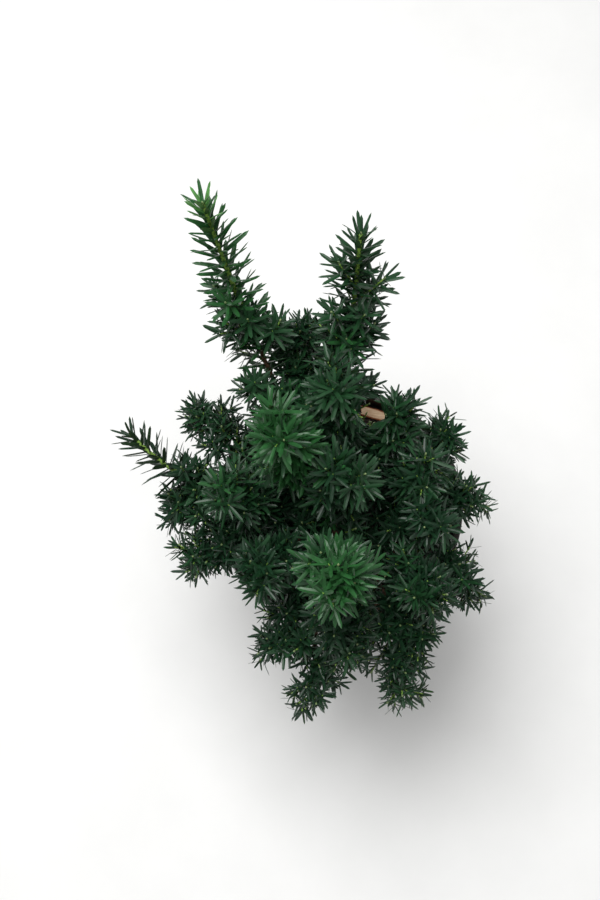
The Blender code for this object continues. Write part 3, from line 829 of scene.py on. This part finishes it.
def side_twigs(arc, stem, rng):
    """The source's side shoots at the golden angle round the stem, with finer ones between them."""
    limb = arc.limb
    whole = FINER * (limb.shoots - 1)
    for i in range(-MORE_BELOW, whole + 1 + MORE_ABOVE):
        share = min(FIRST_SHOOT + SHOOT_SPAN * i / whole, LAST_SHOOT)
        if share > SINGLE_ABOVE.get(limb.name, 1):
            continue
        base, direction = along_line(stem, share)
        turn = math.radians(limb.turn) + (i // FINER) * GOLDEN_ANGLE
        out = around(direction, turn + (i % FINER) * 2 * math.pi / FINER)
        heading = turned_off(direction, out, SIDE_SPREAD, SIDE_TURNS_UP)
        length = limb.length * MM * (LENGTH_AT_BASE - LENGTH_LOSS * share) * rng.uniform(0.9, 1.1)
        if i % FINER:
            length *= SHORTER_SHARE
        yield Twig(base, heading, length, TWIG_RADIUS, SIDE_TWIG_BARE)


def forks(twig, rng):
    """The side twigs of a twig."""
    for share in FORK_SHARES:
        out = around(twig.heading, rng.uniform(0, 2 * math.pi))
        heading = turned_off(twig.heading, out, FORK_SPREAD, FORK_TURNS_UP)
        length = twig.length * FORK_LENGTH_SHARE * rng.uniform(0.8, 1.1)
        yield Twig(twig.at(share), heading, length, FORK_RADIUS, TWIG_BARE)


def bough_twigs(arc, rng):
    """Short leafy twigs along a bough, which fill the crown's dark inside."""
    bough = arc.limb.bough
    line = arc.points(BOUGH_TWIGS_START * bough, bough, 8)
    tall = arc.limb.name in SINGLE_ABOVE
    lengths = LEADER_TWIG_LENGTHS if tall else BOUGH_TWIG_LENGTHS
    count = int(sum(stretches(line)) / (LEADER_TWIG_PITCH if tall else BOUGH_TWIG_PITCH))
    for i in range(count):
        base, direction = along_line(line, (i + 0.5) / count)
        out = around(direction, rng.uniform(0, 0.6) + i * GOLDEN_ANGLE)
        heading = turned_off(direction, out, BOUGH_TWIG_SPREAD, BOUGH_TWIG_TURNS_UP)
        yield Twig(base, heading, rng.uniform(*lengths), TWIG_RADIUS, TWIG_BARE)


def mass_twigs(arc, stem, rng):
    """Every twig of a limb. A tall shoot has forks only low down, where it is bushy."""
    limb = arc.limb
    tall = limb.name in SINGLE_ABOVE
    twigs = list(bough_twigs(arc, rng)) if limb.bough else []
    if tall:
        twigs += [fork for twig in twigs for fork in forks(twig, rng)]
    for twig in side_twigs(arc, stem, rng):
        twigs.append(twig)
        low = (twig.base - stem[0]).length < FORKED_BELOW * (stem[-1] - stem[0]).length
        if low or not tall:
            twigs += forks(twig, rng)
    return twigs


class Needles(NamedTuple):
    """Arrays of needles: root, direction, the way the upper face looks, length, width and curl."""

    root: np.ndarray
    along: np.ndarray
    face: np.ndarray
    length: np.ndarray
    width: np.ndarray
    curl: np.ndarray

    def at(self, share):
        """The place at a share of each needle's length."""
        return self.root + self.along * (self.length * share)[:, None]


def read_line(line, share):
    """Places and directions at shares of a line's length."""
    line = np.array(line, float)
    run = np.concatenate(((0,), np.cumsum(np.linalg.norm(np.diff(line, axis=0), axis=1))))
    slope = unit(np.gradient(line, axis=0))
    where = share * run[-1]
    root = np.stack([np.interp(where, run, line[:, k]) for k in range(3)], axis=-1)
    direction = np.stack([np.interp(where, run, slope[:, k]) for k in range(3)], axis=-1)
    return root, unit(direction)


def needles_on(line, starts, pitch, rng, shortest=0.0):
    """Needles at the golden angle round a twig, which lean forward into a rosette at its tip."""
    count = max(FEWEST_NEEDLES, int(sum(stretches(line)) * (1 - starts) / pitch))
    order = np.arange(count) / (count - 1)
    root, direction = read_line(line, starts + (1 - starts) * order**0.88)
    side = unit(np.cross(direction, ACROSS))
    turn = (rng.uniform(0, 2 * math.pi) + np.arange(count) * GOLDEN_ANGLE)[:, None]
    out = side * np.cos(turn) + np.cross(direction, side) * np.sin(turn)
    lean = SIDEWAYS_LEAN - (SIDEWAYS_LEAN - FORWARD_LEAN) * order**2.6
    lean = np.radians(lean + rng.normal(0, LEAN_WANDERS, count))[:, None]
    along = unit(direction * np.cos(lean) + out * np.sin(lean) + (0, 0, 0.10))
    face = unit(direction - along * (direction * along).sum(axis=1, keepdims=True))
    roll = rng.normal(0, ROLL_WANDERS, count)[:, None]
    face = face * np.cos(roll) + np.cross(along, face) * np.sin(roll)
    height = np.clip((root[:, 2] - LOW_PLACE) / LOW_TO_HIGH, 0, 1)
    size = np.maximum(LOW_NEEDLE + (HIGH_NEEDLE - LOW_NEEDLE) * height, shortest)
    size = size * (1 - SHORTER_AT_TIP * order**3) * (0.84 + 0.16 * np.minimum(1, order / 0.2))
    size = size * rng.uniform(0.86, 1.08, count)
    width = NEEDLE_WIDTH_SHARE * size * rng.uniform(0.92, 1.12, count)
    curl = rng.uniform(*CURLS, count)
    return Needles(root - along * NEEDLE_SUNK, along, face, size, width, curl)


def stem_needles(limb, stem, rng):
    """Needles on a mass's own stem, which are longer on a tall shoot."""
    if limb.name not in SINGLE_ABOVE:
        return needles_on(stem, STEM_BARE, STEM_PITCH, rng)
    needles = needles_on(stem, STEM_BARE, LEADER_PITCH, rng, LEADER_NEEDLE)
    return needles._replace(
        length=needles.length * LEADER_GROWTH, width=needles.width * LEADER_GROWTH
    )


def kept(needles, chosen):
    """Some of the needles, by a mask or a slice."""
    return Needles(*(part[chosen] for part in needles))


def open_over_chip(needles):
    """Which needles leave the gap open through which the photograph shows a chip at the rim."""
    x, y = CHIPS[0].spot()
    chip = np.array((x, y + CLEARANCE, SOIL_TOP))
    sight = unit(np.array(CAMERA_PLACE) - chip)
    clear = np.ones(len(needles.root), bool)
    for share in (0.3, 0.65, 1.0):
        away = needles.at(share) - chip
        off = away - sight * (away @ sight)[:, None]
        clear &= np.linalg.norm(off, axis=1) > RIM_GAP
    return clear


def clear_of_pot(needles):
    """Which needles keep off the mulch and the pot's rim and wall."""
    inner = pot_radius(POT_HEIGHT) - POT_WALL - CLEARANCE
    outer = POT_TOP_RADIUS + CLEARANCE
    clear = np.ones(len(needles.root), bool)
    for share in (0.35, 0.7, 1.0):
        x, y, height = needles.at(share).T
        out = np.hypot(x, y)
        on_soil = height < SOIL_TOP + OFF_SOIL
        on_rim = (height < POT_HEIGHT + CLEARANCE) & (out > inner)
        clear &= ~((on_soil | on_rim) & (out < outer))
    return clear


def needle_faces():
    """The faces of one needle, and which of them are its underside."""
    bands = len(STATIONS) - 1
    root_face = ((3, 2, 1, 0),)
    quads = np.concatenate((band_quads(len(STATIONS), NEEDLE_SIDES), root_face))
    last = NEEDLE_SIDES * bands
    tip = last + NEEDLE_SIDES
    triangles = [(last + j, last + (j + 1) % NEEDLE_SIDES, tip) for j in range(NEEDLE_SIDES)]
    below = [0, 0, 1, 1]
    return quads, np.array(triangles), np.array(below * bands + [1]), np.array(below)


def needle_corners(needles):
    """Four corners at each station, over a raised rib and a low keel, and one at the tip."""
    root, along, face, length, width, curl = needles
    across = np.cross(along, face)[:, None]
    share = STATIONS[None, :, None]
    middle = root[:, None] + along[:, None] * (length[:, None, None] * share)
    middle = middle + face[:, None] * ((curl * length)[:, None, None] * share**2)
    half = 0.5 * width[:, None, None] * HALF_WIDTHS[None, :, None]
    above = middle + face[:, None] * RIB * 2 * half
    below = middle - face[:, None] * KEEL * 2 * half
    rings = np.stack((middle - across * half, above, middle + across * half, below), axis=2)
    tip = root + along * length[:, None] + face * (curl * length)[:, None]
    corners = rings.reshape(len(root), -1, 3)
    return np.concatenate((corners, tip[:, None]), axis=1)


def repeated(faces, count, corners):
    """The faces of a small shape, once for each of its copies."""
    steps = np.arange(count)[:, None, None] * corners
    return (faces[None] + steps).reshape(-1, faces.shape[1])


def make_needles(sprays):
    """One joined piece for each tint, or more where it has many needles."""
    quads, triangles, below_quads, below_triangles = needle_faces()
    corners_each = NEEDLE_SIDES * len(STATIONS) + 1
    for tint, _, upper, under in TINTS:
        needles = Needles(*(np.concatenate(part) for part in zip(*sprays[tint], strict=True)))
        needles = kept(needles, clear_of_pot(needles) & open_over_chip(needles))
        over = needle_material(f"needle_{tint}", upper, UPPER_ROUGHNESS)
        beneath = needle_material(f"needle_{tint}_under", under, UNDER_ROUGHNESS)
        pieces = math.ceil(len(needles.root) / NEEDLES_A_PIECE)
        for i in range(pieces):
            some = kept(needles, slice(i, None, pieces))
            count = len(some.root)
            mesh = array_mesh(
                f"needles_{tint}_{i + 1}",
                needle_corners(some).reshape(-1, 3),
                repeated(quads, count, corners_each),
                repeated(triangles, count, corners_each),
                False,
            )
            sides = np.concatenate((np.tile(below_quads, count), np.tile(below_triangles, count)))
            piece = place(mesh, f"yew_{tint}_{i + 1}", "yew_needles", MASSES, over, beneath)
            piece.data.polygons.foreach_set("material_index", sides.astype(np.int32))


def tint_by_age_and_painted_light(limb, spot, rng):
    """A tint by score: partly age, since young growth stands high, and partly painted light on
    high, outer needles and painted shade on low, inner ones.
    """
    height = (spot.z - TINT_AND_PAINTED_LIGHT_FROM) / TINT_AND_PAINTED_LIGHT_RISE
    out = math.hypot(spot.x, spot.y) / TINT_AND_PAINTED_LIGHT_REACH
    # Higher and further out scores lighter: painted light above and outside, painted shade low and
    # inside, as well as young growth
    score = 0.08 + 0.42 * height + 0.14 * out + rng.normal(0, 0.12)
    score += BRIGHT_LIT_LIMBS.get(limb.name, 0)
    return next(tint for tint, highest, _, _ in TINTS if score < highest)


def bud(spot, direction):
    """A plump pointed bud at a twig's tip."""
    points = [spot + direction * BUD_LENGTH * share for share in (-0.2, 0.15, 0.5, 0.8, 1.0)]
    radii = [BUD_RADIUS * share for share in (0.6, 1.0, 0.95, 0.55, 0.12)]
    return tube(points, radii, 7)


def grow_masses(arcs):
    """Stems, twigs, buds and needles of every mass."""
    rng = np.random.default_rng(SEED)
    woody, leafy, buds = Heap(), Heap(), Heap()
    sprays = {tint: [] for tint, _, _, _ in TINTS}
    for arc in arcs.values():
        limb = arc.limb
        stem = arc.points(limb.bough, 1, STEM_STEPS)
        taper = (STEM_TIP_RADIUS - BOUGH_TIP_RADIUS) * np.arange(STEM_STEPS + 1) / STEM_STEPS
        radii = BOUGH_TIP_RADIUS + taper
        woody.add(*tube(stem[: WOODY_STEPS + 1], radii[: WOODY_STEPS + 1], 8))
        growth = LEADER_STEM_GROWTH if limb.name in SINGLE_ABOVE else 1
        leafy.add(*tube(stem[WOODY_STEPS:], growth * radii[WOODY_STEPS:], 8))
        needles = stem_needles(limb, stem, rng)
        fresh = (needles.root[:, 2] > FRESH_ABOVE) & (rng.random(len(needles.root)) < FRESH_SHARE)
        sprays["fresh"].append(kept(needles, fresh))
        # The stem's tint carries painted light and shade by its height and reach, as well as age
        sprays[tint_by_age_and_painted_light(limb, stem[-1], rng)].append(kept(needles, ~fresh))
        buds.add(*bud(stem[-1], (stem[-1] - stem[-2]).normalized()))
        for twig in mass_twigs(arc, stem, rng):
            line = twig.line()
            if line[-1].z < SOIL_TOP + TWIGS_ABOVE_SOIL:
                continue
            thin = np.linspace(twig.radius, TWIG_TIP_SHARE * twig.radius, len(line))
            leafy.add(*tube(line, thin, 6))
            if twig.radius > FORK_RADIUS:
                buds.add(*bud(line[-1], (line[-1] - line[-2]).normalized()))
            # The twig's tint carries painted light and shade by its height and reach, as well as
            # age
            tint = tint_by_age_and_painted_light(limb, line[-1], rng)
            sprays[tint].append(needles_on(line, twig.starts, PITCH, rng))
    return woody, leafy, buds, sprays


def make_foliage(arcs):
    """Stems, twigs and buds, each kind joined, and the needles."""
    woody, leafy, buds, sprays = grow_masses(arcs)
    young_bark = surface("young_bark")
    place(woody.mesh("stems_woody"), "stems_woody", "yew_bark", MASSES, young_bark)
    green = surface("green_shoot")
    place(leafy.mesh("twigs_green"), "twigs_green", "yew_needles", MASSES, green)
    place(buds.mesh("buds"), "buds", "yew_needles", MASSES, surface("bud_scales"))
    make_needles(sprays)


def add_area(name, spot, size, power):
    """A square light that looks at the plant."""
    light = bpy.data.objects.new(name, bpy.data.lights.new(name, "AREA"))
    light.data.size = size
    light.data.energy = power
    light.location = spot
    aim = Vector(LIGHTS_AIM) - Vector(spot)
    light.rotation_euler = aim.to_track_quat("-Z", "Y").to_euler()
    bpy.context.scene.collection.objects.link(light)


def make_studio():
    """A pale floor, a wide soft light above and a weak one from the front."""
    bpy.ops.mesh.primitive_plane_add(size=FLOOR_SIZE, location=(0, 0, 0))
    floor = bpy.context.object
    floor.name = "floor"
    floor.data.materials.append(surface("floor_paper"))
    world = bpy.data.worlds.new("studio")
    world.use_nodes = True
    sky = world.node_tree.nodes["Background"]
    sky.inputs["Color"].default_value = (1, 1, 1, 1)
    sky.inputs["Strength"].default_value = SKY_STRENGTH
    bpy.context.scene.world = world
    bpy.context.scene.view_settings.view_transform = "Standard"
    for name, light in LIGHTS.items():
        add_area(name, *light)


def add_camera():
    """The photograph's camera."""
    camera = bpy.data.objects.new("camera", bpy.data.cameras.new("camera"))
    look = Vector((0, math.cos(CAMERA_DOWN), -math.sin(CAMERA_DOWN)))
    camera.location = CAMERA_PLACE
    camera.rotation_euler = look.to_track_quat("-Z", "Y").to_euler()
    camera.data.lens = LENS
    camera.data.clip_start = 0.01
    bpy.context.scene.collection.objects.link(camera)
    bpy.context.scene.camera = camera


def main():
    arcs = grow_arcs()
    bark = surface("bark")
    add_camera()
    make_pot()
    make_mulch()
    make_trunk(bark)
    make_boughs(arcs, bark)
    make_foliage(arcs)
    make_studio()


main()
